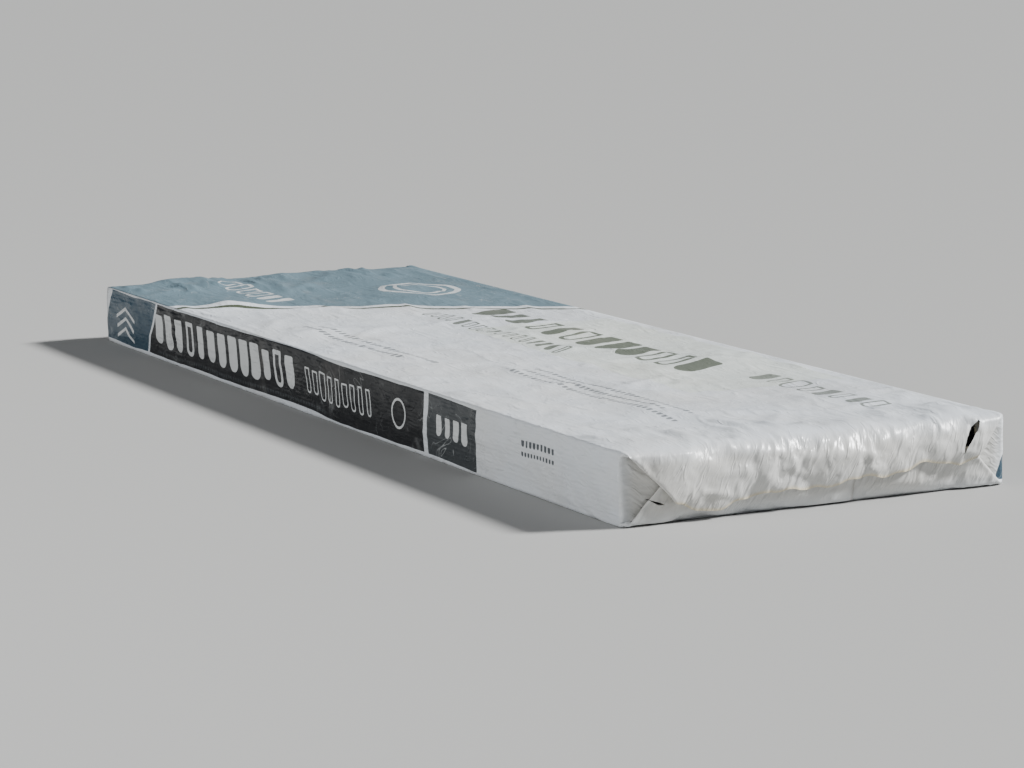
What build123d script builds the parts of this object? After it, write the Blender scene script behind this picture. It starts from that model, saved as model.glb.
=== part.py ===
from build123d import *
import os

# Wrapped bundle of laminated asphalt shingles, in millimetres. The origin is the middle of the
# underside. +X runs along the shingles, -Y is the long side that the butts of the odd shingles
# face, and +Z is up.

# Shingles
shingle_length = 1067.0
shingle_width = 356.0
ply_thickness = 1.95  # one asphalt-coated mat with its granules
shingle_count = 19
backer_gap = 14.0  # between the backer strips of two paired shingles, side by side in one ply
end_stagger = 1.5  # how far a shingle may lie off the middle of the stack, each way

# Tabs, left standing between the slots that are cut into the butt edge
slot_count = 5
slot_width = 92.0
slot_depth = 142.0
slot_taper = 9.0  # a slot is this much wider on each side at the butt than at its root
end_tab = 34.0  # least width of the tab at each end of a shingle
slot_widths = (0.78, 1.24, 0.92, 1.3, 0.66, 1.08, 0.84)  # shares of slot_width, taken in turn
slot_shifts = (-0.12, 0.09, 0.16, -0.07, 0.02, -0.15)  # shares of the pitch, taken in turn
staggers = (0.0, 0.7, -0.5, 1.0, -0.9, 0.3, -0.2)  # shares of end_stagger, taken in turn

# Film sleeve, drawn round the stack lengthwise and folded shut at both ends
film = 0.3
side_room = 2.4  # slack between the stack and the long sides, and the radius of the edges
top_room = 0.4
end_room = 7.0  # slack at each end, past the most staggered shingle

# End folds
flap_inset = 9.0  # the folded flaps stop this far short of the long sides
flap_bulge = 6.0  # how far the top flap stands off the end at its middle
flap_lip_gap = 2.4  # what is left of that at its free lip
lip_low = 9.0  # height of the lip at the low corner of the end
lip_high = 31.0  # height of the lip at the high corner
lower_flap_height = 25.0
lower_flap_cut = 30.0  # the lower flap narrows by this much on each side
tuck_depth = 48.0  # gusset tucked in from each long side
slit_length = 27.0  # gap left open between the folds at the high corner
slit_width = 4.5
slit_from_side = 27.0
slit_from_top = 14.0
slit_angle = 50.0

plies_per_pair = 3
backer_width = (shingle_width - backer_gap) / 2  # laminated behind the tabs, flush with the butt edge
bottom_of_stack = film
plies_high = plies_per_pair * (shingle_count // 2) + 2 * (shingle_count % 2)
stack_height = plies_high * ply_thickness
inner_length = shingle_length + 2 * (end_stagger + end_room)
inner_width = shingle_width + 2 * side_room
inner_height = stack_height + top_room
wrap_length = inner_length + 2 * film
wrap_width = inner_width + 2 * film
wrap_height = inner_height + 2 * film
edge_radius = side_room + film


def tabbed_sheet(number):
    """The exposed sheet of one shingle, flat on z = 0 with its butt edge at -Y."""
    pitch = (shingle_length - 2 * end_tab) / slot_count
    first = -shingle_length / 2 + end_tab
    butt = -shingle_width / 2
    outline = [(-shingle_length / 2, butt)]
    for slot in range(slot_count):
        turn = slot + 2 * number
        middle = first + pitch * (slot + 0.5 + slot_shifts[turn % len(slot_shifts)])
        root = slot_width * slot_widths[(turn + number) % len(slot_widths)] / 2
        mouth = root + slot_taper
        outline += [
            (middle - mouth, butt),
            (middle - root, butt + slot_depth),
            (middle + root, butt + slot_depth),
            (middle + mouth, butt),
        ]
    outline += [
        (shingle_length / 2, butt),
        (shingle_length / 2, shingle_width / 2),
        (-shingle_length / 2, shingle_width / 2),
    ]
    return extrude(make_face(Polyline(*outline, close=True)), amount=ply_thickness)


def backer_strip():
    """The strip behind the tabs, flat on top of the tabbed sheet with its edge at the butt."""
    at_butt = Pos(0, (backer_width - shingle_width) / 2, ply_thickness)
    on_floor = (Align.CENTER, Align.CENTER, Align.MIN)
    return at_butt * Box(shingle_length, backer_width, ply_thickness, align=on_floor)


def shingle(number):
    """One laminated shingle in its place. Odd ones lie face down with their butt at -Y, and each
    even one lies face up on the one below it, turned round, so that the two backers are side by
    side in one ply and the pair is three plies thick."""
    laminate = tabbed_sheet(number) + backer_strip()
    pair = (number - 1) // 2
    if number % 2 == 0:
        laminate = Rot(180, 0, 0) * laminate
        laminate = Pos(0, 0, plies_per_pair * ply_thickness) * laminate
    shift = end_stagger * staggers[number % len(staggers)]
    return Pos(shift, 0, bottom_of_stack + pair * plies_per_pair * ply_thickness) * laminate


def sleeve():
    """The closed film tube, as a thin shell with the stack's room inside."""
    on_floor = (Align.CENTER, Align.CENTER, Align.MIN)
    outside = Box(wrap_length, wrap_width, wrap_height, align=on_floor)
    outside = fillet(outside.edges(), edge_radius)
    inside = Pos(0, 0, film) * Box(inner_length, inner_width, inner_height, align=on_floor)
    inside = fillet(inside.edges(), edge_radius - film)
    return outside - inside


def along_end(profile, width):
    """A profile drawn in (x, z), extruded along Y by the width, about y = 0."""
    return Pos(0, width / 2, 0) * extrude(Plane.XZ * make_face(profile), amount=width)


def below_lip():
    """Everything under the slanting lip of the top flap."""
    half = wrap_width
    slope = (lip_high - lip_low) / (wrap_width - 2 * flap_inset)
    middle = (lip_high + lip_low) / 2
    corners = [
        (-half, -wrap_height),
        (half, -wrap_height),
        (half, middle + slope * half),
        (-half, middle - slope * half),
    ]
    wedge = make_face(Polyline(*corners, close=True))
    return Pos(wrap_length / 2 - flap_bulge, 0, 0) * extrude(Plane.YZ * wedge, amount=4 * flap_bulge)


def top_flap():
    """The puffed outer flap. It hangs from the top edge, and its lip is free."""
    wall = wrap_length / 2
    root = wrap_height - edge_radius
    lip = lip_low - (lip_high - lip_low) / 4
    waist = root * 0.55
    embed = film / 2
    outer = ThreePointArc(
        (wall - embed, root), (wall + flap_bulge, waist), (wall + flap_lip_gap, lip)
    )
    across = Line((wall + flap_lip_gap, lip), (wall + flap_lip_gap - film, lip))
    inner = ThreePointArc(
        (wall + flap_lip_gap - film, lip), (wall + flap_bulge - film, waist), (wall - embed, root - 2 * film)
    )
    close = Line((wall - embed, root - 2 * film), (wall - embed, root))
    return along_end(outer + across + inner + close, wrap_width - 2 * flap_inset) - below_lip()


def lower_flap():
    """The flap turned up from the floor, under the top flap."""
    wall = wrap_length / 2
    half_root = wrap_width / 2 - flap_inset
    half_top = half_root - lower_flap_cut
    corners = [
        (-half_root, edge_radius),
        (half_root, edge_radius),
        (half_top, lower_flap_height),
        (-half_top, lower_flap_height),
    ]
    sheet = extrude(Plane.YZ * make_face(Polyline(*corners, close=True)), amount=film * 1.5)
    return Pos(wall - film / 2, 0, 0) * sheet


def tuck(side):
    """The gusset pushed in from one long side: a triangle flat on the end."""
    wall = wrap_length / 2
    edge = side * (wrap_width / 2 - edge_radius)
    point = side * (wrap_width / 2 - tuck_depth)
    corners = [(edge, edge_radius), (edge, wrap_height - edge_radius), (point, wrap_height / 2)]
    sheet = extrude(Plane.YZ * make_face(Polyline(*corners, close=True)), amount=film * 1.2)
    return Pos(wall - film / 2, 0, 0) * sheet


def corner_slit():
    """The gap between the folds at the high corner, cut right through to the stack."""
    wall = wrap_length / 2
    place = Pos(wall, wrap_width / 2 - slit_from_side, wrap_height - slit_from_top)
    return place * Rot(slit_angle, 0, 0) * Box(4 * flap_bulge, slit_length, slit_width)


def wrap():
    """The sleeve with both ends folded alike, the far end being the near one turned round."""
    folds = top_flap() + lower_flap() + tuck(-1) + tuck(1)
    half_turn = Rot(0, 0, 180)
    body = sleeve() + folds + half_turn * folds
    return body - corner_slit() - half_turn * corner_slit()


def main():
    os.makedirs("parts", exist_ok=True)
    for number in range(1, shingle_count + 1):
        export_step(shingle(number), f"parts/shingle_{number:02d}.step")
    export_step(wrap(), "parts/film_wrap.step")


main()
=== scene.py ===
import math

import bmesh
import bpy
import numpy as np
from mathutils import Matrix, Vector


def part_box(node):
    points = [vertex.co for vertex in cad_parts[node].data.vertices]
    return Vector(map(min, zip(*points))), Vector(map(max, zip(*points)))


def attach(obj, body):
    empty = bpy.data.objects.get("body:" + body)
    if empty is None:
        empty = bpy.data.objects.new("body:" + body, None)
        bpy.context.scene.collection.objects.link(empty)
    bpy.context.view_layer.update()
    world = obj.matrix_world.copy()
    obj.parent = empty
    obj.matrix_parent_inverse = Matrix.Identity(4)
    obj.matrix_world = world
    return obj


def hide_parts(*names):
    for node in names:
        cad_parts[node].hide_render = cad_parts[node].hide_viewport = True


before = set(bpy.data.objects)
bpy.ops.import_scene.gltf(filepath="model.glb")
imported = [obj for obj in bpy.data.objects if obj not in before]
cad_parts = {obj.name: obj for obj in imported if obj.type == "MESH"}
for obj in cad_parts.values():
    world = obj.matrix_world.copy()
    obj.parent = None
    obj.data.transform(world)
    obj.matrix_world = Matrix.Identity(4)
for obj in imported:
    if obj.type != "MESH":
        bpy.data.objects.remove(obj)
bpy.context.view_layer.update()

shingleNames = sorted(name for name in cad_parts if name.startswith("shingle"))
shingleBoxes = [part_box(name) for name in shingleNames]
stackLow = np.array([min(box[0][axis] for box in shingleBoxes) for axis in range(3)])
stackHigh = np.array([max(box[1][axis] for box in shingleBoxes) for axis in range(3)])
wrapLow, wrapHigh = [np.array(corner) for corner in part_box("film_wrap")]

# The film is worked out on its flat sheet: along runs with the shingles, around runs round the
# stack from one lapped edge on the underside to the other. Lengths are in metres.
film = {
    "alongCell": 0.0038,  # mesh spacing along the bundle
    "cell": 0.00255,  # and across it
    "underCell": 0.014,  # and in the middle of the underside
    "lapEdge": 0.03,  # where the outer edge of the lap lies, from the middle
    "lapWidth": 0.06,
    "lapLevels": (0.00018, 0.00005),  # height of the inner and the outer film on the underside
    "innerReach": 0.02,  # how far up its side the inner film keeps its level
    "endSlack": 0.0018,
    "layerStep": 0.0010,  # space that each folded layer takes on an end
    "layerGap": 0.0007,
    "layerRamp": 0.012,  # film past a fold in which the layers part
    "tuckDrop": 0.0024,  # the tucks stay this far below the top edge and above the floor
    "foldRows": 23,
    "lip": (0.036, 0.040, 0.0505, 0.029, 0.036, 0.036),  # folded-over length at lap, corners, lap
    "lipWobble": 0.0011,  # height of its waves, for one as long as "lipWave"
    "lipWave": 0.06,
    "lipWaves": (0.02, 0.10),  # shortest wave, and how much longer the longest is
    "lipSnap": 0.35,  # share of a cell under which the lip takes the point before it
    "lipReach": 0.05,  # farthest distance from the lip that its attribute tells
    "edgeRadius": 0.0012,  # of the stack, as the film feels it
    "nearStack": 0.0006,  # film nearer to the stack than this is pushed out to the clearance
    "clearance": 0.0009,
    "sideRoom": 0.0034,  # how far creases may stand off the long sides
    "topRoom": 0.0075,
    "endRoom": 0.016,
    "puff": 0.0045,  # at the ends of the top
    "puffReach": 0.10,  # how far along the top it goes
    "puffInset": 0.04,  # and over how much film it falls off to the long edges
    "broadShare": 0.35,  # height of the broad swells, as a share of the puff
    "endPuff": 0.0035,
    "endInset": 0.05,
    "ripple": 0.0003,
    "hiddenShare": 0.3,  # creases of the folded-in layers, as a share of the others
    "edgeFade": 0.010,  # creases fade this near a long edge
    "steps": 60,
    "hold": (0.03, 0.012, 0.0045),  # pull to its own place: in the sheet, off an end, off the top
    "mostSpare": 1.35,  # a creased length is at most this many times the flat one
    "stiffness": 0.002,
    "shear": 0.4,
    "pressure": 0.000001,  # draws the film in, in metres at a step
    "endPressure": 0.3,  # as a share of it
    "drag": 0.92,
    "topSpeed": 0.0006,  # metres in a step
    "looseEdge": 0.012,  # the underside is held still, apart from this much along its edges
    "foldWidth": 0.003,  # film this close to a fold isn't smoothed
    "lastPasses": (4, 0.12),  # how many, and their stiffness
}

length = float(stackHigh[0] - stackLow[0]) + 2 * film["endSlack"]
width = float(wrapHigh[1] - wrapLow[1]) - 0.001
height = float(wrapHigh[2]) - 0.0002
panels = [
    width / 2 + film["lapEdge"],
    height,
    width,
    height,
    width / 2 - film["lapEdge"] + film["lapWidth"],
]
corners = np.concatenate([[0], np.cumsum(panels)])
topColumns = round(width / film["cell"])
fineCell = width / topColumns
foldDepth = film["foldRows"] * fineCell

# On an end, the layers of each panel's tuck and flap. The side walls are layer 0, the innermost.
flapLayers = {0: (1, 2.5), 2: (3, 4), 4: (1, 2)}
tuckedLayers = (0, 1, 3)


def evenly(start, span, count):
    return list(start + span * np.arange(count) / count)


# Columns of the sheet: fine near the edges and on top, coarse in the middle underneath
def aroundStations():
    outer = panels[0] - foldDepth
    inner = panels[4] - foldDepth
    sideColumns = round(height / film["cell"])
    stations = evenly(0, outer, round(outer / film["underCell"]))
    stations += evenly(outer, foldDepth, film["foldRows"])
    stations += evenly(corners[1], height, sideColumns)
    stations += evenly(corners[2], width, topColumns)
    stations += evenly(corners[3], height, sideColumns)
    stations += evenly(corners[4], foldDepth, film["foldRows"])
    stations += evenly(corners[4] + foldDepth, inner, round(inner / film["underCell"]))
    return np.array(stations + [corners[5]])


def sheetGrid():
    rows = round(length / film["alongCell"])
    middle = np.linspace(-length / 2, length / 2, rows + 1)
    past = fineCell * np.arange(1, film["foldRows"] + 1)
    alongRows = np.concatenate([-length / 2 - past[::-1], middle, length / 2 + past])
    aroundRows = aroundStations()
    along = np.repeat(alongRows[:, None], len(aroundRows), 1)
    around = np.repeat(aroundRows[None, :], len(alongRows), 0)
    return along, around


waveSets = {
    # count, shortest, longest, seed, stretch round the bundle
    "billow": (12, 0.07, 0.25, 41, 0.6),
    "broad": (20, 0.10, 0.32, 9, 0.7),
    "ripples": (40, 0.014, 0.05, 19, 1.0),
}


# A sum of plain waves with random length, heading and phase, of about unit height
def waves(along, around, kind):
    count, shortest, longest, seed, stretch = waveSets[kind]
    dice = np.random.default_rng(seed)
    total = np.zeros_like(along)
    for _ in range(count):
        span = shortest * (longest / shortest) ** dice.random()
        turn = dice.random() * 2 * math.pi
        shift = dice.random() * 2 * math.pi
        across = along * math.cos(turn) + around * math.sin(turn) / stretch
        total += np.sin(2 * math.pi * across / span + shift)
    return total / math.sqrt(count / 2)


creaseSets = {
    # count, half length, width of a flank, height, heading from the bundle's length, its fan
    "top": (170, (0.03, 0.11), (0.003, 0.011), (0.0009, 0.0040), 0.0, 1.6),
    "topEnds": (110, (0.014, 0.06), (0.0022, 0.007), (0.0014, 0.0056), 0.0, 0.9),
    "sides": (130, (0.02, 0.09), (0.0025, 0.008), (0.0006, 0.0024), 0.0, 0.7),
    "ends": (240, (0.016, 0.075), (0.0019, 0.0044), (0.0016, 0.0056), 1.57, 0.6),
    "endSlants": (430, (0.012, 0.036), (0.0019, 0.0036), (0.0020, 0.0064), -0.55, 0.5),
}
creaseShape = {
    "bow": 0.12,
    "crossing": 0.35,  # share of an older crease that stays beneath a newer one
    "nearEnds": 0.07,  # reach of the extra creases on top
    "pastEnds": (0.002, 0.055),  # where the creases of an end start, and their reach
    "firstSeed": 3,
}


# Pinched ridges, sharp at the crest, that fade out towards both tips and bend a little
def creases(along, around, kind, centres, seed):
    count, halves, flanks, heights, heading, fan = creaseSets[kind]
    dice = np.random.default_rng(seed)
    total = np.zeros_like(along)
    for _ in range(count):
        middle = centres(dice)
        share = dice.random(3)
        half = halves[0] + (halves[1] - halves[0]) * share[0] ** 2  # short and low ones are commoner
        flank = flanks[0] + (flanks[1] - flanks[0]) * share[1]
        tall = heights[0] + (heights[1] - heights[0]) * share[2] ** 1.5
        turn = heading + fan * dice.normal() * 0.5
        bow = dice.normal() * creaseShape["bow"] / half
        run = (along - middle[0]) * math.cos(turn) + (around - middle[1]) * math.sin(turn)
        off = -(along - middle[0]) * math.sin(turn) + (around - middle[1]) * math.cos(turn)
        off = off + bow * run * run
        fade = np.clip(1 - (run / half) ** 2, 0, 1) ** 2
        crossed = creaseShape["crossing"] * total
        total = np.maximum(total, crossed + tall * np.exp(-np.abs(off) / flank) * fade)
    return total


def sculpt(along, around, zones):
    half = length / 2
    topMiddle = (corners[2] + corners[3]) / 2
    start, reach = creaseShape["pastEnds"]

    def anywhere(dice):
        return (2 * dice.random() - 1) * half, topMiddle + (dice.random() - 0.5) * width

    def nearEnds(dice):
        hand = 1 if dice.random() < 0.5 else -1
        place = half - creaseShape["nearEnds"] * dice.random() ** 1.3
        return hand * place, topMiddle + (dice.random() - 0.5) * width

    def onSides(dice):
        panel = 1 if dice.random() < 0.5 else 3
        return (2 * dice.random() - 1) * half, corners[panel] + height * dice.random()

    def onEnds(dice):
        hand = 1 if dice.random() < 0.5 else -1
        return hand * (half + start + reach * dice.random()), corners[5] * dice.random()

    top, sides, ends = zones["top"], zones["left"] | zones["right"], zones["ends"]
    places = [
        # crease set, where its creases show, and what gives their centres
        ("top", top, anywhere), ("topEnds", top, nearEnds),
        ("sides", sides, onSides),
        ("ends", ends, onEnds), ("endSlants", ends, onEnds),
    ]
    lift = np.zeros_like(along)
    for seed, (kind, zone, centres) in enumerate(places, creaseShape["firstSeed"]):
        lift += np.where(zone, creases(along, around, kind, centres, seed), 0)
    return lift


# Folds the flat sheet round the stack and over its ends, as a parcel is folded. Returns the
# points, the layer that each lies in on the ends, and how far past the end it lies when flat.
def foldSheet(along, around):
    past = np.maximum(0, np.abs(along) - length / 2)
    side = np.zeros_like(along)
    level = np.zeros_like(along)
    layer = np.zeros_like(along)
    tiny = fineCell * 0.01
    for panel in range(5):
        on = (around >= corners[panel] - tiny) & (around <= corners[panel + 1] + tiny)
        run = around[on] - corners[panel]
        beyond = past[on]
        if panel in (1, 3):
            hand = -1 if panel == 1 else 1
            side[on] = hand * (width / 2 - beyond)
            level[on] = run if panel == 1 else height - run
            layer[on] = 0  # the corner columns belong to the side walls
            continue
        place = {0: film["lapEdge"] - run, 2: run - width / 2, 4: width / 2 - run}[panel]
        inset = width / 2 - np.abs(place)
        under = inset < beyond - tiny
        side[on] = np.where(under, np.sign(place) * (width / 2 - beyond), place)
        drop = np.where(under, inset, beyond)
        level[on] = height - drop if panel == 2 else drop
        layer[on] = np.where(under, *flapLayers[panel])
    ramp = np.clip(past / film["layerRamp"], 0, 1)
    ramp = ramp * ramp * (3 - 2 * ramp)
    stand = length / 2 + layer * film["layerStep"] * ramp
    x = np.where(past > 0, np.sign(along) * stand, along)
    return np.stack([x, side, level], -1), layer, past


# Moves two sets of points along the lines between them, towards their rest lengths
def pull(a, b, freeA, freeB, rest, strength):
    gap = b - a
    span = np.sqrt(np.einsum("ijk,ijk->ij", gap, gap)) + 1e-9
    share = (strength * (span - rest) / (span * (freeA + freeB + 1e-9)))[..., None] * gap
    a += share * freeA[..., None]
    b -= share * freeB[..., None]


# How far each point of the flat sheet lies from the nearest long edge of the bundle
def edgeDistance(around):
    return np.min([np.abs(around - corner) for corner in corners[1:5]], axis=0)


# Where the film would like to be: creased, and puffed out at and near the ends
def puffOut(points, along, around, layer, zones):
    toEdge = edgeDistance(around)
    fromEnd = np.maximum(0, length / 2 - np.abs(along))
    billow = 0.55 + 0.45 * waves(along, around, "billow")
    swell = np.clip(1 - fromEnd / film["puffReach"], 0, 1) ** 2
    broad = np.maximum(0, waves(along, around, "broad"))
    inset = np.clip(toEdge / film["puffInset"], 0, 1)
    puffed = film["puff"] * (swell * billow + film["broadShare"] * broad) * inset
    belly = np.sin(np.pi * np.clip(points[..., 2] / height, 0.02, 0.98)) ** 0.7
    fromSide = np.clip((width / 2 - np.abs(points[..., 1])) / film["endInset"], 0, 1)
    bulge = film["endPuff"] * belly * fromSide * (0.6 + 0.5 * billow)
    ripples = film["ripple"] * np.abs(waves(along, around, "ripples"))
    lift = sculpt(along, around, zones) + ripples
    hidden = zones["ends"] & np.isin(layer, tuckedLayers)
    lift = np.where(hidden, film["hiddenShare"] * lift, lift)
    lift *= np.clip(toEdge / film["edgeFade"], 0.2, 1)
    lift[zones["under"]] = 0
    lift += np.where(zones["top"], puffed, 0) + np.where(zones["ends"], bulge, 0)
    return points + zones["outward"] * lift[..., None]


def zonesOf(along, around, past):
    flat = past == 0
    zones = {
        "top": flat & (around > corners[2]) & (around < corners[3]),
        "left": flat & (around > corners[1]) & (around <= corners[2]),
        "right": flat & (around >= corners[3]) & (around < corners[4]),
        "under": flat & ((around <= corners[1]) | (around >= corners[4])),
        "ends": past > 0,
    }
    zones["outward"] = np.stack([
        np.sign(along) * zones["ends"],
        zones["right"].astype(float) - zones["left"],
        zones["top"].astype(float),
    ], -1)
    return zones


# The lengths that the creased film has between its points, which it then keeps
def restLengths(points, along, around):
    rests = []
    for axis, flat in ((0, along), (1, around)):
        step = np.linalg.norm(np.diff(points, axis=axis), axis=-1)
        even = np.diff(flat, axis=axis)
        rests.append(np.clip(step, even, film["mostSpare"] * even))
    alongMean = (rests[0][:, 1:] + rests[0][:, :-1]) / 2
    aroundMean = (rests[1][1:] + rests[1][:-1]) / 2
    rests.append(np.hypot(alongMean, aroundMean))
    return [rest.astype(np.float32) for rest in rests]


# Lets the creased film settle on the stack, keeping its lengths and its layers
def relaxFilm():
    along, around = sheetGrid()
    points, layer, past = foldSheet(along, around)
    zones = zonesOf(along, around, past)
    home = puffOut(points, along, around, layer, zones)
    rests = restLengths(home, along, around)
    home = home.astype(np.float32)
    points = home.copy()

    loose = film["looseEdge"]
    inUnder = (around < corners[1] - loose) | (around > corners[4] + loose)
    held = zones["under"] & inUnder & (np.abs(along) < length / 2 - loose)
    free = np.where(held, 0, 1).astype(np.float32)
    toEnd = np.abs(np.abs(along) - length / 2)
    onFold = (edgeDistance(around) < film["foldWidth"]) | (toEnd < film["foldWidth"])
    bends = np.where(onFold, 0, free).astype(np.float32)
    inSheet, offEnd, offTop = film["hold"]
    hold = np.stack([
        np.where(zones["ends"], offEnd, inSheet),
        np.where(zones["left"] | zones["right"], 0, inSheet),
        np.where(zones["top"], offTop, inSheet),
    ], -1).astype(np.float32)
    share = np.where(zones["ends"], film["endPressure"], 1)[..., None]
    push = (film["pressure"] * share * zones["outward"]).astype(np.float32)
    endLimit = length / 2 + film["endRoom"] - (layer.max() - layer) * film["layerGap"]
    endLimit = endLimit.astype(np.float32)
    sunk = np.where(np.isin(layer, tuckedLayers), np.minimum(film["tuckDrop"], past / 2), 0)
    inner = around > corners[4] - film["innerReach"]
    lowest = (np.where(inner, *film["lapLevels"]) + sunk).astype(np.float32)
    highest = np.where(sunk > 0, height - sunk, height + film["topRoom"])
    highest = np.where(zones["under"], stackLow[2] - film["lapLevels"][1], highest).astype(np.float32)
    piles = endPiles(along, around, past, layer)
    speed = np.zeros_like(points)
    for step in range(film["steps"]):
        before = points.copy()
        points += speed * np.float32(film["drag"]) - push
        points += (home - points) * hold
        keepLengths(points, free, rests)
        smoothBends(points, bends, film["stiffness"])
        keepOutside(points, endLimit, lowest, highest, free)
        if step % 3 == 2:
            keepPiled(points, piles, pile["nudge"])
        speed = points - before
        pace = np.sqrt((speed ** 2).sum(-1, keepdims=True))
        speed *= np.minimum(1, np.float32(film["topSpeed"]) / (pace + np.float32(1e-9)))
    passes, stiffness = film["lastPasses"]
    for _ in range(passes):
        keepPiled(points, piles, pile["shove"])
        smoothBends(points, bends, stiffness)
        keepOutside(points, endLimit, lowest, highest, free)
    keepPiled(points, piles, pile["shove"])
    return points.astype(float), along, around


def keepLengths(points, free, rests):
    for axis in (0, 1):
        run, loose, rest = [np.moveaxis(part, axis, 0) for part in (points, free, rests[axis])]
        for odd in (0, 1):
            low, high = slice(odd, -1, 2), slice(odd + 1, None, 2)
            pull(run[low], run[high], loose[low], loose[high], rest[odd::2], 1)
    for odd in (0, 1):
        low, high = points[odd:-1:2], points[odd + 1::2]
        freeLow, freeHigh = free[odd:-1:2], free[odd + 1::2]
        rest = rests[2][odd::2]
        pull(low[:, :-1], high[:, 1:], freeLow[:, :-1], freeHigh[:, 1:], rest, film["shear"])
        pull(low[:, 1:], high[:, :-1], freeLow[:, 1:], freeHigh[:, :-1], rest, film["shear"])


def smoothBends(points, share, stiffness):
    for axis in (0, 1):
        run = np.moveaxis(points, axis, 0)
        part = np.moveaxis(share, axis, 0)
        bow = (run[:-2] + run[2:]) / 2 - run[1:-1]
        run[1:-1] += np.float32(stiffness) * bow * part[1:-1][..., None]


# Keeps the film off the stack, between its lowest and highest levels, and near the stack's walls
def keepOutside(points, endLimit, lowest, highest, free):
    radius = film["edgeRadius"]
    half = ((stackHigh - stackLow) / 2 - radius).astype(np.float32)
    offset = points - ((stackHigh + stackLow) / 2).astype(np.float32)
    reach = np.abs(offset) - half
    near = reach.max(-1) < radius + film["nearStack"]
    close = reach[near]
    outside = np.maximum(close, 0)
    span = np.sqrt((outside ** 2).sum(-1))
    inside = span < 1e-9
    depth = np.where(inside, close.max(-1), span) - radius - film["clearance"]
    flatWay = (close == close.max(-1, keepdims=True)).astype(np.float32)
    way = np.where(inside[:, None], flatWay, outside / (span[:, None] + 1e-12))
    shove = np.maximum(0, -depth) * free[near]
    points[near] += (way * np.sign(offset[near]) * shove[:, None]).astype(np.float32)
    np.maximum(points[..., 2], lowest, out=points[..., 2])
    np.minimum(points[..., 2], highest, out=points[..., 2])
    sideLimit = width / 2 + film["sideRoom"]
    np.clip(points[..., 1], -sideLimit, sideLimit, out=points[..., 1])
    np.clip(points[..., 0], -endLimit, endLimit, out=points[..., 0])


# The grid on which the layers of an end are piled, and how far a point moves at once
pile = {
    "pitch": 0.003, "low": (-0.2, -0.015), "size": (136, 32),
    "start": 0.0010,  # film past the fold that isn't piled
    "ramp": 0.008,
    "nudge": 0.0012, "shove": 0.006,
}


# For each end, the points of each layer from the innermost out, and the gap that each keeps
def endPiles(along, around, past, layer):
    reach = np.where(along > 0, lipLengths(around[0], 1), lipLengths(around[0], -1))
    folded = (past > pile["start"]) & (past < reach + 1.2 * fineCell)
    piles = []
    for hand in (1, -1):
        onEnd = (np.sign(along) == hand) & folded
        layers = []
        for depth in np.unique(layer):
            mask = onEnd & (layer == depth)
            ramp = np.clip(past[mask] / pile["ramp"], 0, 1).astype(np.float32)
            layers.append((mask, np.float32(film["layerGap"]) * ramp))
        piles.append((hand, layers))
    return piles


# Merges each cell of a grid with its eight neighbours
def spread(grid, merge):
    for axis in (0, 1):
        grid = merge([grid, np.roll(grid, 1, axis), np.roll(grid, -1, axis)], 0)
    return grid


# Each folded layer lies outside the ones beneath it
def keepPiled(points, piles, reach):
    for hand, layers in piles:
        below = None
        for mask, gap in layers:
            part = points[mask]
            spot = (part[:, 1:] - np.array(pile["low"], np.float32)) / np.float32(pile["pitch"])
            spot = np.clip(spot, 0.5, np.array(pile["size"], np.float32) - 2.5)
            whole = np.floor(spot).astype(int)
            if below is not None:
                shareY, shareZ = (spot - whole).T
                i, j = whole.T
                lower = below[i, j] * (1 - shareY) + below[i + 1, j] * shareY
                upper = below[i, j + 1] * (1 - shareY) + below[i + 1, j + 1] * shareY
                crest = lower * (1 - shareZ) + upper * shareZ
                lack = np.maximum(0, crest + gap - part[:, 0] * hand)
                part[:, 0] += hand * np.minimum(lack, reach)
                points[mask] = part
            heights = np.full(pile["size"], length / 2, np.float32)
            near = np.round(spot).astype(int)
            np.maximum.at(heights, (near[:, 0], near[:, 1]), part[:, 0] * hand)
            heights = spread(spread(spread(heights, np.max), np.max), np.mean)
            below = heights if below is None else np.maximum(below, heights)


# How far past the end the film was cut, at each column
def lipLengths(aroundRow, hand):
    lip = film["lip"] if hand > 0 else film["lip"][::-1]
    reach = np.interp(aroundRow, corners, lip)
    dice = np.random.default_rng(5 if hand > 0 else 6)
    for _ in range(9):
        span = film["lipWaves"][0] + film["lipWaves"][1] * dice.random()
        turn = 2 * math.pi * (aroundRow / span + dice.random())
        reach += film["lipWobble"] * span / film["lipWave"] * np.sin(turn)
    return reach


# Moves the last kept point of each column onto the lip, and marks the rest as cut off
def trimLip(points, along, aroundRow):
    kept = np.ones(along.shape, bool)
    for hand in (1, -1):
        start = len(along) - 1 - film["foldRows"] if hand > 0 else film["foldRows"]
        for column, distance in enumerate(lipLengths(aroundRow, hand)):
            whole = int(distance / fineCell)
            part = distance / fineCell - whole
            inner = start + hand * whole
            outer = inner + hand
            edge = points[inner, column] * (1 - part) + points[outer, column] * part
            last = inner if part < film["lipSnap"] else outer
            points[last, column] = edge
            along[last, column] = hand * (length / 2 + distance)
            cut = slice(last + 1, None) if hand > 0 else slice(0, last)
            kept[cut, column] = False
    return kept


# Which way the diagonal folds run in each column of an end, or 0 where there are none
def diagonalWays(aroundRow):
    ways = []
    for middle in (aroundRow[1:] + aroundRow[:-1]) / 2:
        near = np.abs(corners - middle) < foldDepth
        onSide = np.searchsorted(corners, middle) in (2, 4)
        ways.append(0 if onSide else int(near[2] or near[4]) or -int(near[1] or near[3]))
    return ways


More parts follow.
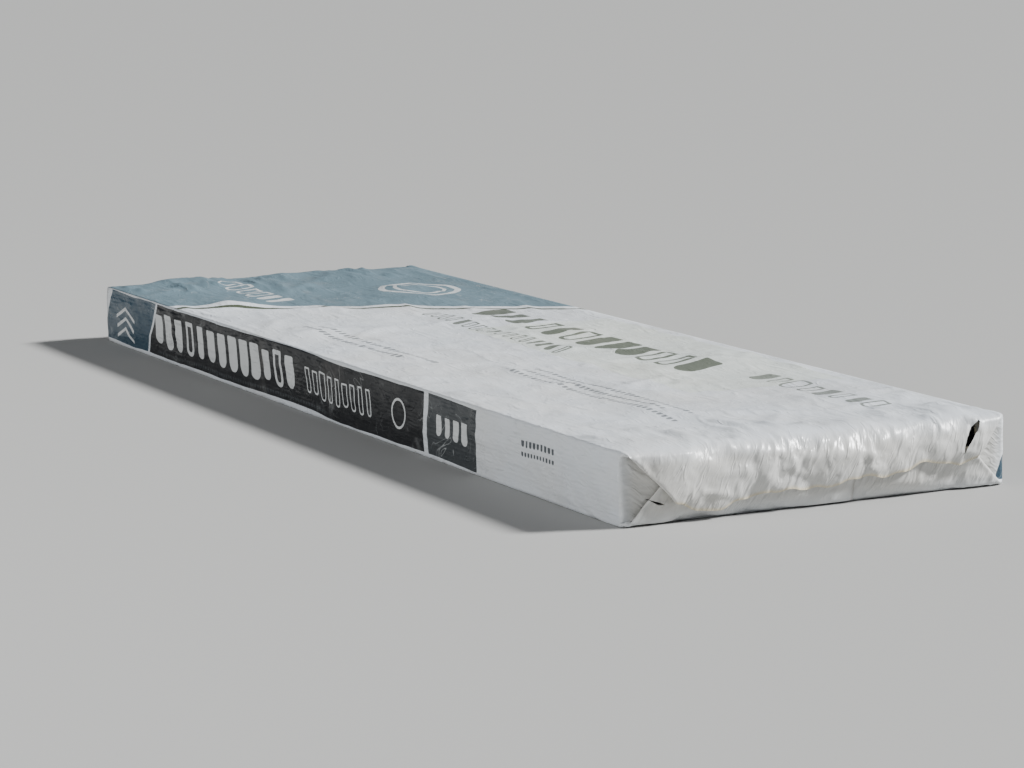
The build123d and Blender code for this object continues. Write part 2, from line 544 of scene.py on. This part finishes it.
# Quads, split along the diagonal folds at the corners, with triangles beside the lips
def filmFaces(aroundRow, kept):
    rows, columns = kept.shape
    ways = diagonalWays(aroundRow)
    faces = []
    for i in range(rows - 1):
        hand = int(i >= rows - 1 - film["foldRows"]) - int(i < film["foldRows"])
        for j in range(columns - 1):
            quad = [(i, j), (i + 1, j), (i + 1, j + 1), (i, j + 1)]
            live = [row * columns + column for row, column in quad if kept[row, column]]
            way = hand * ways[j]
            if way and len(live) == 4:
                a, b, c, d = live
                faces += [[a, b, c], [a, c, d]] if way > 0 else [[a, b, d], [b, c, d]]
            elif len(live) > 2:
                faces.append(live)
    return faces


slits = [
    # end, then stations of its middle line: from the right corner, down from the top, width
    (1, (
        (0.028, 0.002, 0.0016), (0.0335, 0.008, 0.0048),
        (0.0405, 0.0155, 0.0044), (0.047, 0.0265, 0.0004),
    )),
    (-1, (
        (0.030, 0.003, 0.0014), (0.0345, 0.009, 0.004),
        (0.041, 0.016, 0.0046), (0.049, 0.0245, 0.0004),
    )),
    (1, ((0.339, 0.037, 0.0002), (0.331, 0.0405, 0.0022), (0.325, 0.042, 0.0003))),
    (-1, ((0.331, 0.004, 0.0003), (0.325, 0.007, 0.0024), (0.317, 0.0085, 0.0002))),
]
slitMargin = 0.004  # faces this near a slit are cut, and it may reach this far before the end
gape = {"reach": 1.6, "lift": 0.0018}  # film below a slit stands off, out to this share of its half


# Cuts one slit right through the layers on an end, and lifts the film beside it
def cutSlit(shell, hand, stations):
    spots = [Vector((0, hand * (width / 2 - side), height - drop)) for side, drop, _ in stations]
    widths = [wide for _, _, wide in stations]
    rims = []
    for index, (spot, wide) in enumerate(zip(spots, widths)):
        way = (spots[min(index + 1, len(spots) - 1)] - spots[max(index - 1, 0)]).normalized()
        across = Vector((0, -way.z, way.y)) * wide / 2
        rims.append((spot + across, spot - across))
    start = length / 2 - slitMargin
    candidates = [face for face in shell.faces if face.calc_center_median().x * hand > start]
    for (startLeft, startRight), (endLeft, endRight) in zip(rims, rims[1:]):
        quad = [startLeft, endLeft, endRight, startRight]
        middle = sum(quad, Vector()) / 4
        reach = (endLeft - startLeft).length / 2 + slitMargin
        near, rest = [], []
        for face in candidates:
            apart = flatDistance(face.calc_center_median(), middle)
            (near if apart < reach else rest).append(face)
        for a, b in zip(quad, quad[1:] + quad[:1]):
            normal = Vector((0, (b - a).z, -(b - a).y)).normalized()
            parts = near + list(dict.fromkeys(edge for face in near for edge in face.edges))
            parts += dict.fromkeys(vert for face in near for vert in face.verts)
            cut = bmesh.ops.bisect_plane(shell, geom=parts, dist=0.00001, plane_co=a, plane_no=normal)
            near = [part for part in cut["geom"] if isinstance(part, bmesh.types.BMFace)]
        doomed = [face for face in near if insideQuad(quad, face.calc_center_median())]
        candidates = rest + [face for face in near if face not in doomed]
        bmesh.ops.delete(shell, geom=doomed, context="FACES")
    middle = (spots[0] + spots[-1]) / 2
    reach = (spots[0] - spots[-1]).length / 2 * gape["reach"]
    across = Vector((0, spots[-1].z - spots[0].z, spots[0].y - spots[-1].y))
    for vert in shell.verts:
        if vert.co.x * hand < length / 2:
            continue
        off = flatDistance(vert.co, middle)
        if off < reach and (vert.co - middle).dot(across) * hand < 0:
            vert.co.x += hand * gape["lift"] * (1 - off / reach) ** 1.5


def flatDistance(a, b):
    return math.hypot(a.y - b.y, a.z - b.z)


def insideQuad(quad, spot):
    turns = [
        (b.y - a.y) * (spot.z - a.z) - (b.z - a.z) * (spot.y - a.y)
        for a, b in zip(quad, quad[1:] + quad[:1])
    ]
    return min(turns) > 0 or max(turns) < 0


# Deletes what the slits cut loose from the rest of the film
def dropIslands(shell):
    front = [max(shell.faces, key=lambda face: face.calc_area())]
    reached = set(front)
    while front:
        face = front.pop()
        fresh = {other for edge in face.edges for other in edge.link_faces} - reached
        reached |= fresh
        front += fresh
    loose = [face for face in shell.faces if face not in reached]
    bmesh.ops.delete(shell, geom=loose, context="FACES")


def dropLoose(shell):
    loose = [vert for vert in shell.verts if not vert.link_faces]
    bmesh.ops.delete(shell, geom=loose, context="VERTS")


def buildFilm():
    points, along, around = relaxFilm()
    aroundRow = around[0]
    kept = trimLip(points, along, aroundRow)
    faces = filmFaces(aroundRow, kept)
    mesh = bpy.data.meshes.new("printed_film")
    mesh.from_pydata(points.reshape(-1, 3).tolist(), [], faces)
    corner = np.empty(len(mesh.loops), int)
    mesh.loops.foreach_get("vertex_index", corner)
    place = np.stack([along.reshape(-1)[corner], around.reshape(-1)[corner]], -1)
    mesh.uv_layers.new(name="sheet").data.foreach_set("uv", place.reshape(-1))
    # How far each point lies from the cut lip
    lipGap = mesh.attributes.new("lipGap", "FLOAT", "POINT")
    reach = np.where(along > 0, lipLengths(aroundRow, 1), lipLengths(aroundRow, -1))
    gap = np.clip(reach - np.maximum(0, np.abs(along) - length / 2), 0, film["lipReach"])
    lipGap.data.foreach_set("value", gap.reshape(-1).astype(np.float32))
    piece = bpy.data.objects.new("printed_film", mesh)
    bpy.context.scene.collection.objects.link(piece)
    shell = bmesh.new()
    shell.from_mesh(mesh)
    dropLoose(shell)
    for hand, stations in slits:
        cutSlit(shell, hand, stations)
    dropIslands(shell)
    dropLoose(shell)
    large = [face for face in shell.faces if len(face.verts) > 4]
    bmesh.ops.triangulate(shell, faces=large)
    shell.to_mesh(mesh)
    shell.free()
    mesh.shade_smooth()
    return piece


filmPiece = buildFilm()
print("film folded, creased and settled:", len(filmPiece.data.vertices), "points")


def feed(tree, socket, value):
    if isinstance(value, bpy.types.NodeSocket):
        tree.links.new(value, socket)
    elif isinstance(value, tuple) and len(value) == 3 and socket.type == "RGBA":
        socket.default_value = (*value, 1)
    else:
        socket.default_value = value


def node(tree, kind, values=None, **settings):
    made = tree.nodes.new("ShaderNode" + kind)
    for name, value in settings.items():
        setattr(made, name, value)
    for name, value in (values or {}).items():
        feed(tree, made.inputs[name], value)
    return made


def calc(tree, operation, *values):
    return node(tree, "Math", dict(enumerate(values)), operation=operation).outputs[0]


def minus(tree, first, second):
    return calc(tree, "SUBTRACT", first, second)


def noise(tree, values, **settings):
    return node(tree, "TexNoise", values, **settings).outputs[0]


# The product of any number of masks or values
def times(tree, *values):
    total = values[0]
    for value in values[1:]:
        total = calc(tree, "MULTIPLY", total, value)
    return total


def diagonal(tree, x, y):
    squares = [calc(tree, "POWER", side, 2.0) for side in (x, y)]
    return calc(tree, "SQRT", calc(tree, "ADD", *squares))


# 1 where the value lies between low and high
def within(tree, value, low, high):
    return calc(tree, "COMPARE", value, (low + high) / 2, (high - low) / 2)


def blend(tree, factor, first, second):
    made = node(tree, "Mix", data_type="RGBA")
    for socket, value in zip((0, 6, 7), (factor, first, second)):
        feed(tree, made.inputs[socket], value)
    return made.outputs[2]


def remap(tree, value, fromLow, fromHigh, toLow=0.0, toHigh=1.0):
    values = enumerate((value, fromLow, fromHigh, toLow, toHigh))
    return node(tree, "MapRange", dict(values)).outputs[0]


# A node group with one mask as its result
def startGroup(name, vectors, numbers):
    group = bpy.data.node_groups.new(name, "ShaderNodeTree")
    for kind, labels in (("Vector", vectors), ("Float", numbers)):
        for label in labels:
            group.interface.new_socket(label, in_out="INPUT", socket_type="NodeSocket" + kind)
    group.interface.new_socket("Mask", in_out="OUTPUT", socket_type="NodeSocketFloat")
    given = group.nodes.new("NodeGroupInput").outputs
    return group, given, group.nodes.new("NodeGroupOutput").inputs["Mask"]


def useGroup(tree, group, values):
    made = tree.nodes.new("ShaderNodeGroup")
    made.node_tree = group
    for name, value in values.items():
        feed(tree, made.inputs[name], value)
    return made.outputs["Mask"]


tabInputs = ("Along", "Across", "From", "Count", "Pitch", "Fill", "Middle", "Height", "Lean")
tabInputs += ("Line", "Hollow", "Seed")


# A row of tabs with round feet, of uneven size, of which a share are only outlined
def tabRowGroup():
    group, given, result = startGroup("tabRow", (), tabInputs)
    level = minus(group, given["Across"], given["Middle"])
    start = minus(group, given["Along"], given["From"])
    leaned = calc(group, "MULTIPLY_ADD", level, given["Lean"], start)
    run = calc(group, "DIVIDE", leaned, given["Pitch"])
    tab = calc(group, "FLOOR", run)
    seat = node(group, "CombineXYZ", {"X": tab, "Y": given["Seed"]}).outputs[0]
    dice = node(group, "TexWhiteNoise", {"Vector": seat}, noise_dimensions="3D")
    parts = node(group, "SeparateColor", {"Color": dice.outputs["Color"]}).outputs
    share = calc(group, "MULTIPLY_ADD", parts["Red"], 0.2, 0.3)
    wide = times(group, given["Pitch"], given["Fill"], share)
    share = calc(group, "MULTIPLY_ADD", parts["Green"], 0.1, 0.4)
    tall = times(group, given["Height"], share)
    place = minus(group, minus(group, run, tab), 0.5)
    side = calc(group, "ABSOLUTE", times(group, place, given["Pitch"]))
    # Each tab is a rounded box, with larger rounds at its foot
    foot = calc(group, "MULTIPLY_ADD", calc(group, "LESS_THAN", level, 0.0), 0.7, 0.2)
    corner = times(group, wide, foot)
    pastX = minus(group, side, minus(group, wide, corner))
    pastY = minus(group, calc(group, "ABSOLUTE", level), minus(group, tall, corner))
    outX = calc(group, "MAXIMUM", pastX, 0.0)
    outer = diagonal(group, outX, calc(group, "MAXIMUM", pastY, 0.0))
    inner = calc(group, "MINIMUM", calc(group, "MAXIMUM", pastX, pastY), 0.0)
    gap = minus(group, calc(group, "ADD", outer, inner), corner)
    shape = calc(group, "LESS_THAN", gap, 0.0)
    heart = calc(group, "LESS_THAN", calc(group, "ADD", gap, given["Line"]), 0.0)
    hollowed = calc(group, "LESS_THAN", parts["Blue"], given["Hollow"])
    drawn = minus(group, shape, times(group, heart, hollowed))
    first = calc(group, "GREATER_THAN", tab, -0.5)
    last = calc(group, "LESS_THAN", tab, minus(group, given["Count"], 0.5))
    feed(group, result, times(group, drawn, first, last))
    return group


# Soft uneven patches with a finer grain in them
def mottleGroup():
    group, given, result = startGroup("mottle", ["Vector"], ["Scale", "Low", "High"])
    values = {"Vector": given["Vector"], "Scale": given["Scale"], "Detail": 6.0, "Roughness": 0.62}
    feed(group, result, remap(group, noise(group, values), given["Low"], given["High"]))
    return group


# Thin bent lines where sharp creases have rubbed
def rubGroup():
    group, given, result = startGroup("rub", ["Vector"], ["Scale", "Width"])
    values = {"Vector": given["Vector"], "Scale": given["Scale"], "Detail": 2.0, "Distortion": 1.2}
    offset = calc(group, "ABSOLUTE", minus(group, noise(group, values), 0.5))
    line = minus(group, 1.0, calc(group, "DIVIDE", offset, given["Width"]))
    values = {"Vector": given["Vector"], "Scale": 11.0, "Detail": 3.0}
    places = remap(group, noise(group, values), 0.52, 0.68)
    feed(group, result, times(group, calc(group, "MAXIMUM", line, 0.0), places))
    return group


tabRow = tabRowGroup()
mottle = mottleGroup()
rub = rubGroup()

filmLook = {
    "white": (0.70, 0.74, 0.78),
    "cream": (0.60, 0.55, 0.45),
    # grimeAndShade colours the grime patches, and the painted shadow line along the lap's outer edge
    "grimeAndShade": (0.30, 0.28, 0.25),
    "lipEdge": (0.72, 0.62, 0.40),
    "roughness": (0.24, 0.46),
    "blueTop": (0.14, 0.21, 0.25),
    "blueSide": (0.024, 0.058, 0.088),
    "black": (0.007, 0.008, 0.010),
    "slate": (0.040, 0.046, 0.050),
    "paleInk": (0.62, 0.64, 0.64),
    "greyInk": (0.07, 0.08, 0.09),
    "olive": (0.075, 0.09, 0.058),
    "leaf": (0.62, 0.68, 0.50),
}
# endCreamAndShade: the cream over the film past the ends, partly the film's own tint there and partly
# painted shade of the ends
strength = {"stain": 0.30, "endCreamAndShade": 0.45, "leaf": 0.28, "ring": 0.85}

# Marks over the print: the group and its values, then their strength and colour
marks = [
    (rub, {"Scale": 26.0, "Width": 0.006}, 0.7, "paleInk"),
    (mottle, {"Scale": 38.0, "Low": 0.60, "High": 0.74}, 0.18, "paleInk"),
    (mottle, {"Scale": 17.0, "Low": 0.58, "High": 0.80}, 0.28, "grimeAndShade"),
]
# Edges of the sheet: a cream stain at the cut lip, and painted shadow along the outer edge of the
# lap. How far in each starts and is full, then its strength and colour
edgeStainAndShadow = {"lip": (0.0030, 0.0004, 0.7, "lipEdge"), "lap": (0.0032, 0.0006, 0.55, "grimeAndShade")}

# Print on the long sides. Places along it are shares of the half length, and places across it
# are shares of the height.
sidePrint = {
    "low": 0.055, "high": 0.97, "lean": 0.45,
    "blueSide": (-1.02, -0.795), "black": (-0.787, 0.383), "slate": (0.398, 0.562),
    "tabs": [
        # from, count, pitch, fill, middle, height, lean, line, hollow share, ink
        (-0.755, 13, 0.0268, 0.86, 0.54, 0.60, 0.22, 0.0042, 0.40, "paleInk"),
        (-0.070, 9, 0.0158, 0.78, 0.52, 0.46, 0.22, 0.0016, 1.00, "paleInk"),
        (0.424, 4, 0.0150, 0.80, 0.54, 0.36, 0.00, 0.1, 0.00, "paleInk"),
        (-0.740, 70, 0.0058, 0.72, 0.13, 0.06, 0.00, 0.1, 0.00, "slate"),
        (0.705, 9, 0.0062, 0.76, 0.70, 0.10, 0.00, 0.1, 0.00, "greyInk"),
        (0.705, 11, 0.0050, 0.72, 0.55, 0.07, 0.00, 0.1, 0.00, "greyInk"),
    ],
    "ring": (0.292, 0.52, 0.0125, 0.0022),
    "roofs": (-0.905, 0.048, 0.0035, (0.34, 0.52, 0.70)),
}


# Lays one colour of the film over the ink, where all the masks are
def lay(tree, ink, colour, *masks):
    return blend(tree, times(tree, *masks), ink, filmLook[colour])


# One row of a print table, whose middle and height are shares of the two spans
def tabMask(tree, along, across, row, spans, seed):
    values = dict(zip(tabInputs, (along, across, *row, seed)))
    for name, span in zip(("From", "Middle", "Height"), (length / 2, *spans)):
        values[name] *= span
    return useGroup(tree, tabRow, values)


# A ring, whose level is a share of the span
def ringMask(tree, along, across, ring, span):
    middle, level, radius, line = ring
    fromMiddle = minus(tree, along, middle * length / 2)
    reach = diagonal(tree, fromMiddle, minus(tree, across, level * span))
    return calc(tree, "COMPARE", reach, radius, line / 2)


# Nested roof lines, falling away from the middle
def roofMask(tree, along, across, middle, span, line, levels):
    off = calc(tree, "ABSOLUTE", minus(tree, along, middle))
    rise = calc(tree, "MULTIPLY_ADD", off, 0.45, across)
    total = 0.0
    for level in levels:
        total = calc(tree, "ADD", total, calc(tree, "COMPARE", rise, level, line / 2))
    return times(tree, total, calc(tree, "LESS_THAN", off, span / 2))


# The printed band of a long side. Across is the height on that side, and outside it elsewhere.
def sideInk(tree, along, across, ink):
    half = length / 2
    onBand = within(tree, across, sidePrint["low"] * height, sidePrint["high"] * height)
    leaned = calc(tree, "MULTIPLY_ADD", across, -sidePrint["lean"], along)
    edges = {"slate": (along, along), "black": (leaned, along), "blueSide": (leaned, leaned)}
    for part, (lowEdge, highEdge) in edges.items():
        low, high = sidePrint[part]
        pastLow = calc(tree, "GREATER_THAN", lowEdge, low * half)
        ink = lay(tree, ink, part, onBand, pastLow, calc(tree, "LESS_THAN", highEdge, high * half))
    for seed, (*row, colour) in enumerate(sidePrint["tabs"]):
        ink = lay(tree, ink, colour, tabMask(tree, along, across, row, (height, height), seed))
    ink = lay(tree, ink, "paleInk", ringMask(tree, along, across, sidePrint["ring"], height))
    middle, span, line, levels = sidePrint["roofs"]
    levels = [level * height for level in levels]
    roofs = roofMask(tree, along, across, middle * half, span, line, levels)
    return lay(tree, ink, "paleInk", onBand, roofs)


# Print on top: a blue far end with a slanted edge, then rows of tabs and of fine dashes. Places
# along it are shares of the half length, and places across it, but not heights, of the width.
topPrint = {
    "edge": -0.50, "slant": 0.55, "strip": (0.020, 0.0045), "firstSeed": 20,
    "rows": [
        # from, count, pitch, fill, middle, height, lean, line, hollow share, ink, strength
        (-0.345, 12, 0.0350, 0.84, 0.235, 0.054, 0.25, 0.0055, 0.35, "olive", 0.90),
        (-0.36, 17, 0.0165, 0.74, 0.070, 0.024, 0.25, 0.0024, 0.60, "olive", 0.85),
        (0.30, 34, 0.0078, 0.74, -0.130, 0.006, 0.0, 0.1, 0.0, "greyInk", 0.70),
        (0.30, 31, 0.0078, 0.74, -0.165, 0.006, 0.0, 0.1, 0.0, "greyInk", 0.70),
        (0.30, 36, 0.0078, 0.74, -0.200, 0.006, 0.0, 0.1, 0.0, "greyInk", 0.70),
        (-0.30, 26, 0.0096, 0.70, -0.300, 0.008, 0.0, 0.1, 0.0, "greyInk", 0.75),
        (-0.30, 22, 0.0096, 0.70, -0.345, 0.008, 0.0, 0.1, 0.0, "greyInk", 0.75),
        (0.52, 8, 0.0240, 0.80, 0.300, 0.028, 0.0, 0.0028, 0.6, "olive", 0.75),
        (-0.92, 6, 0.0260, 0.80, -0.180, 0.034, 0.25, 0.0035, 0.5, "paleInk", 0.85),
    ],
    "rings": [(-0.66, 0.27, 0.040, 0.007), (-0.66, 0.27, 0.026, 0.004)],
    "leaf": (-0.15, 0.62, 0.02, 0.46),
}


def topInk(tree, along, across, paper):
    half = length / 2
    onTop = within(tree, across, -width / 2, width / 2)
    low, high, near, far = topPrint["leaf"]
    lengthwise = within(tree, along, low * half, high * half)
    crosswise = within(tree, across, near * width, far * width)
    ink = lay(tree, paper, "leaf", lengthwise, crosswise, strength["leaf"])
    past = calc(tree, "MULTIPLY_ADD", across, -topPrint["slant"], along)
    past = minus(tree, past, topPrint["edge"] * half)
    ink = lay(tree, ink, "blueTop", calc(tree, "LESS_THAN", past, 0.0), onTop)
    ink = lay(tree, ink, "olive", calc(tree, "COMPARE", past, *topPrint["strip"]), onTop)
    for seed, (*row, colour, share) in enumerate(topPrint["rows"], topPrint["firstSeed"]):
        ink = lay(tree, ink, colour, tabMask(tree, along, across, row, (width, 1), seed), share)
    for ring in topPrint["rings"]:
        mask = ringMask(tree, along, across, ring, width)
        ink = lay(tree, ink, "paleInk", mask, strength["ring"])
    return ink


def newMaterial(name):
    material = bpy.data.materials.new(name)
    material.use_nodes = True
    tree = material.node_tree
    return material, tree, tree.nodes["Principled BSDF"]


filmRelief = {
    # heading of the puckers, and how much narrower they are along it and across it
    "puckers": (0.0, (0.55, 1.5)),
    "pleats": (creaseSets["endSlants"][4], (0.6, 2.1)),
    "pleatGain": 1.25,
    "broad": {"Scale": 42.0, "Detail": 4.0, "Roughness": 0.55, "Distortion": 0.8},
    "fine": {"Scale": 130.0, "Detail": 3.0, "Distortion": 1.0},
    "fineShare": 0.35,
    "puckerBump": {"Strength": 0.6, "Distance": 0.0032},
    "layerBump": {"Strength": 0.2, "Distance": 0.00025},
    "shinglePitch": 0.0039,  # height of a shingle and its share of the backers
}


# Fine puckers of the film, drawn out along their heading
def puckerHeight(tree, along, around, heading, narrowing):
    lengthwise, sideways = math.cos(heading), math.sin(heading)
    run = calc(tree, "MULTIPLY_ADD", around, sideways, times(tree, along, lengthwise))
    off = calc(tree, "MULTIPLY_ADD", around, lengthwise, times(tree, along, -sideways))
    values = {"X": times(tree, run, narrowing[0]), "Y": times(tree, off, narrowing[1])}
    place = node(tree, "CombineXYZ", values).outputs[0]
    ridged = {"noise_type": "RIDGED_MULTIFRACTAL", "normalize": True}
    broad = noise(tree, {"Vector": place, **filmRelief["broad"]}, **ridged)
    fine = noise(tree, {"Vector": place, **filmRelief["fine"]}, **ridged)
    return calc(tree, "MULTIPLY_ADD", fine, filmRelief["fineShare"], broad)


# The edges of the shingle layers, faint through the film of the long sides
def layerHeight(tree, along, level):
    place = node(tree, "CombineXYZ", {"X": along}).outputs[0]
    shift = noise(tree, {"Vector": place, "Scale": 5.0})
    turns = times(tree, level, 2 * math.pi / filmRelief["shinglePitch"])
    wave = calc(tree, "SINE", calc(tree, "MULTIPLY_ADD", shift, 1.6, turns))
    return times(tree, wave, within(tree, level, 0.0, height))


def filmMaterial():
    material, tree, shader = newMaterial("printedFilm")
    sheet = node(tree, "UVMap", uv_map="sheet").outputs[0]
    parts = node(tree, "SeparateXYZ", {"Vector": sheet}).outputs
    along, around = parts["X"], parts["Y"]
    object3d = node(tree, "TexCoord").outputs["Object"]
    acrossTop = minus(tree, around, corners[2] + width / 2)
    alongSide = times(tree, along, calc(tree, "SIGN", acrossTop), -1.0)
    level = minus(tree, width / 2 + height, calc(tree, "ABSOLUTE", acrossTop))
    fromCentre = calc(tree, "ABSOLUTE", along)
    pastEnd = remap(tree, fromCentre, length / 2 - 0.003, length / 2 + 0.012)

    cloud = useGroup(tree, mottle, {"Vector": object3d, "Scale": 9.0, "Low": 0.42, "High": 0.72})
    paper = lay(tree, filmLook["white"], "cream", cloud, strength["stain"])
    # Film past the ends turns cream: partly the film's own tint, partly painted shade of the ends
    paper = lay(tree, paper, "cream", pastEnd, strength["endCreamAndShade"])
    values = {"W": alongSide, "Scale": 5.0, "Detail": 3.0}
    drift = noise(tree, values, noise_dimensions="1D")
    printLevel = calc(tree, "ADD", level, remap(tree, drift, 0.2, 0.8, -0.003, 0.003))
    ink = sideInk(tree, alongSide, printLevel, paper)
    ink = topInk(tree, along, acrossTop, ink)
    printEnd = calc(tree, "MULTIPLY_ADD", drift, 0.006, length / 2 + 0.004)
    ink = blend(tree, calc(tree, "GREATER_THAN", fromCentre, printEnd), ink, paper)
    for group, values, share, colour in marks:
        ink = lay(tree, ink, colour, useGroup(tree, group, {"Vector": object3d, **values}), share)
    lipGap = node(tree, "Attribute", attribute_name="lipGap").outputs["Fac"]
    # A cream stain along the cut lip, and a painted shadow line along the outer edge of the lap
    for place, (start, full, share, colour) in zip((lipGap, around), edgeStainAndShadow.values()):
        ink = lay(tree, ink, colour, remap(tree, place, start, full), share)
    feed(tree, shader.inputs["Base Color"], ink)

    gloss = useGroup(tree, mottle, {"Vector": object3d, "Scale": 14.0, "Low": 0.35, "High": 0.65})
    feed(tree, shader.inputs["Roughness"], remap(tree, gloss, 0.0, 1.0, *filmLook["roughness"]))
    values = {"Height": layerHeight(tree, along, level), **filmRelief["layerBump"]}
    plies = node(tree, "Bump", values).outputs[0]
    puckers = puckerHeight(tree, along, around, *filmRelief["puckers"])
    pleats = puckerHeight(tree, along, around, *filmRelief["pleats"])
    change = minus(tree, times(tree, pleats, filmRelief["pleatGain"]), puckers)
    puckers = calc(tree, "MULTIPLY_ADD", pastEnd, change, puckers)
    values = {"Height": puckers, "Normal": plies, **filmRelief["puckerBump"]}
    feed(tree, shader.inputs["Normal"], node(tree, "Bump", values).outputs[0])
    shader.inputs["Specular IOR Level"].default_value = 0.42
    return material


def shingleMaterial():
    material, tree, shader = newMaterial("shingleGranules")
    object3d = node(tree, "TexCoord").outputs["Object"]
    grains = node(tree, "TexVoronoi", {"Vector": object3d, "Scale": 620.0}, feature="F1")
    tone = node(tree, "SeparateColor", {"Color": grains.outputs["Color"]}).outputs["Red"]
    ramp = node(tree, "ValToRGB", {"Fac": tone})
    stops = ramp.color_ramp.elements
    stops[0].color = (0.012, 0.012, 0.013, 1)
    stops[1].color = (0.16, 0.15, 0.14, 1)
    stops.new(0.62).color = (0.035, 0.034, 0.034, 1)
    patches = useGroup(tree, mottle, {"Vector": object3d, "Scale": 30.0, "Low": 0.4, "High": 0.65})
    colour = blend(tree, times(tree, patches, 0.4), ramp.outputs[0], (0.02, 0.019, 0.018))
    feed(tree, shader.inputs["Base Color"], colour)
    feed(tree, shader.inputs["Roughness"], remap(tree, tone, 0.0, 1.0, 0.75, 0.95))
    values = {"Height": grains.outputs["Distance"], "Strength": 0.7, "Distance": 0.0006}
    feed(tree, shader.inputs["Normal"], node(tree, "Bump", values).outputs[0])
    return material


filmPiece.data.materials.append(filmMaterial())
granules = shingleMaterial()
for name in shingleNames:
    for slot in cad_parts[name].material_slots:
        slot.material = granules
print("materials made")

# Floor and light
stage = {"size": 60.0, "colour": (0.40, 0.40, 0.39), "gap": 0.0004}
bpy.ops.object.select_all(action="DESELECT")
bpy.ops.mesh.primitive_plane_add(size=stage["size"], location=(0, 0, -stage["gap"]))
floor = bpy.context.object
floor.name = "floor"
floorLook, _, floorShader = newMaterial("paleFloor")
floorShader.inputs["Base Color"].default_value = (*stage["colour"], 1)
floorShader.inputs["Roughness"].default_value = 0.8
floor.data.materials.append(floorLook)


# A lamp or a camera that stands at one place and faces another
def addAimed(name, data, place, target):
    made = bpy.data.objects.new(name, data)
    bpy.context.scene.collection.objects.link(made)
    made.location = place
    made.rotation_euler = (Vector(target) - Vector(place)).to_track_quat("-Z", "Y").to_euler()
    return made


lamps = {
    # kind, place, spread (an angle for the far key, a size for the near one), power
    "key": ("SUN", (1.6, 5.6, 4.1), 0.16, 8.0),
    "left": ("AREA", (0.6, -3.2, 1.3), 2.0, 60),
}
spreads = {"SUN": "angle", "AREA": "size"}
for name, (kind, place, wide, power) in lamps.items():
    lampData = bpy.data.lights.new(name, kind)
    setattr(lampData, spreads[kind], wide)
    lampData.energy = power
    addAimed(name, lampData, place, (0, 0, 0))
world = bpy.data.worlds.new("studio")
bpy.context.scene.world = world
world.use_nodes = True
sky = world.node_tree.nodes["Background"].inputs
sky["Color"].default_value = (0.80, 0.86, 0.94, 1)
sky["Strength"].default_value = 0.16
print("floor and lights set")

# Camera, at the photo's height and distance from the bundle, and closer in
look = {"eye": (2.55, -1.36, 0.50), "at": (0.03, 0.0, 0.022), "angle": 18.6}
cameraData = bpy.data.cameras.new("photoCamera")
cameraData.angle = math.radians(look["angle"])
bpy.context.scene.camera = addAimed("photoCamera", cameraData, look["eye"], look["at"])

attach(filmPiece, "root")
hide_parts("film_wrap")
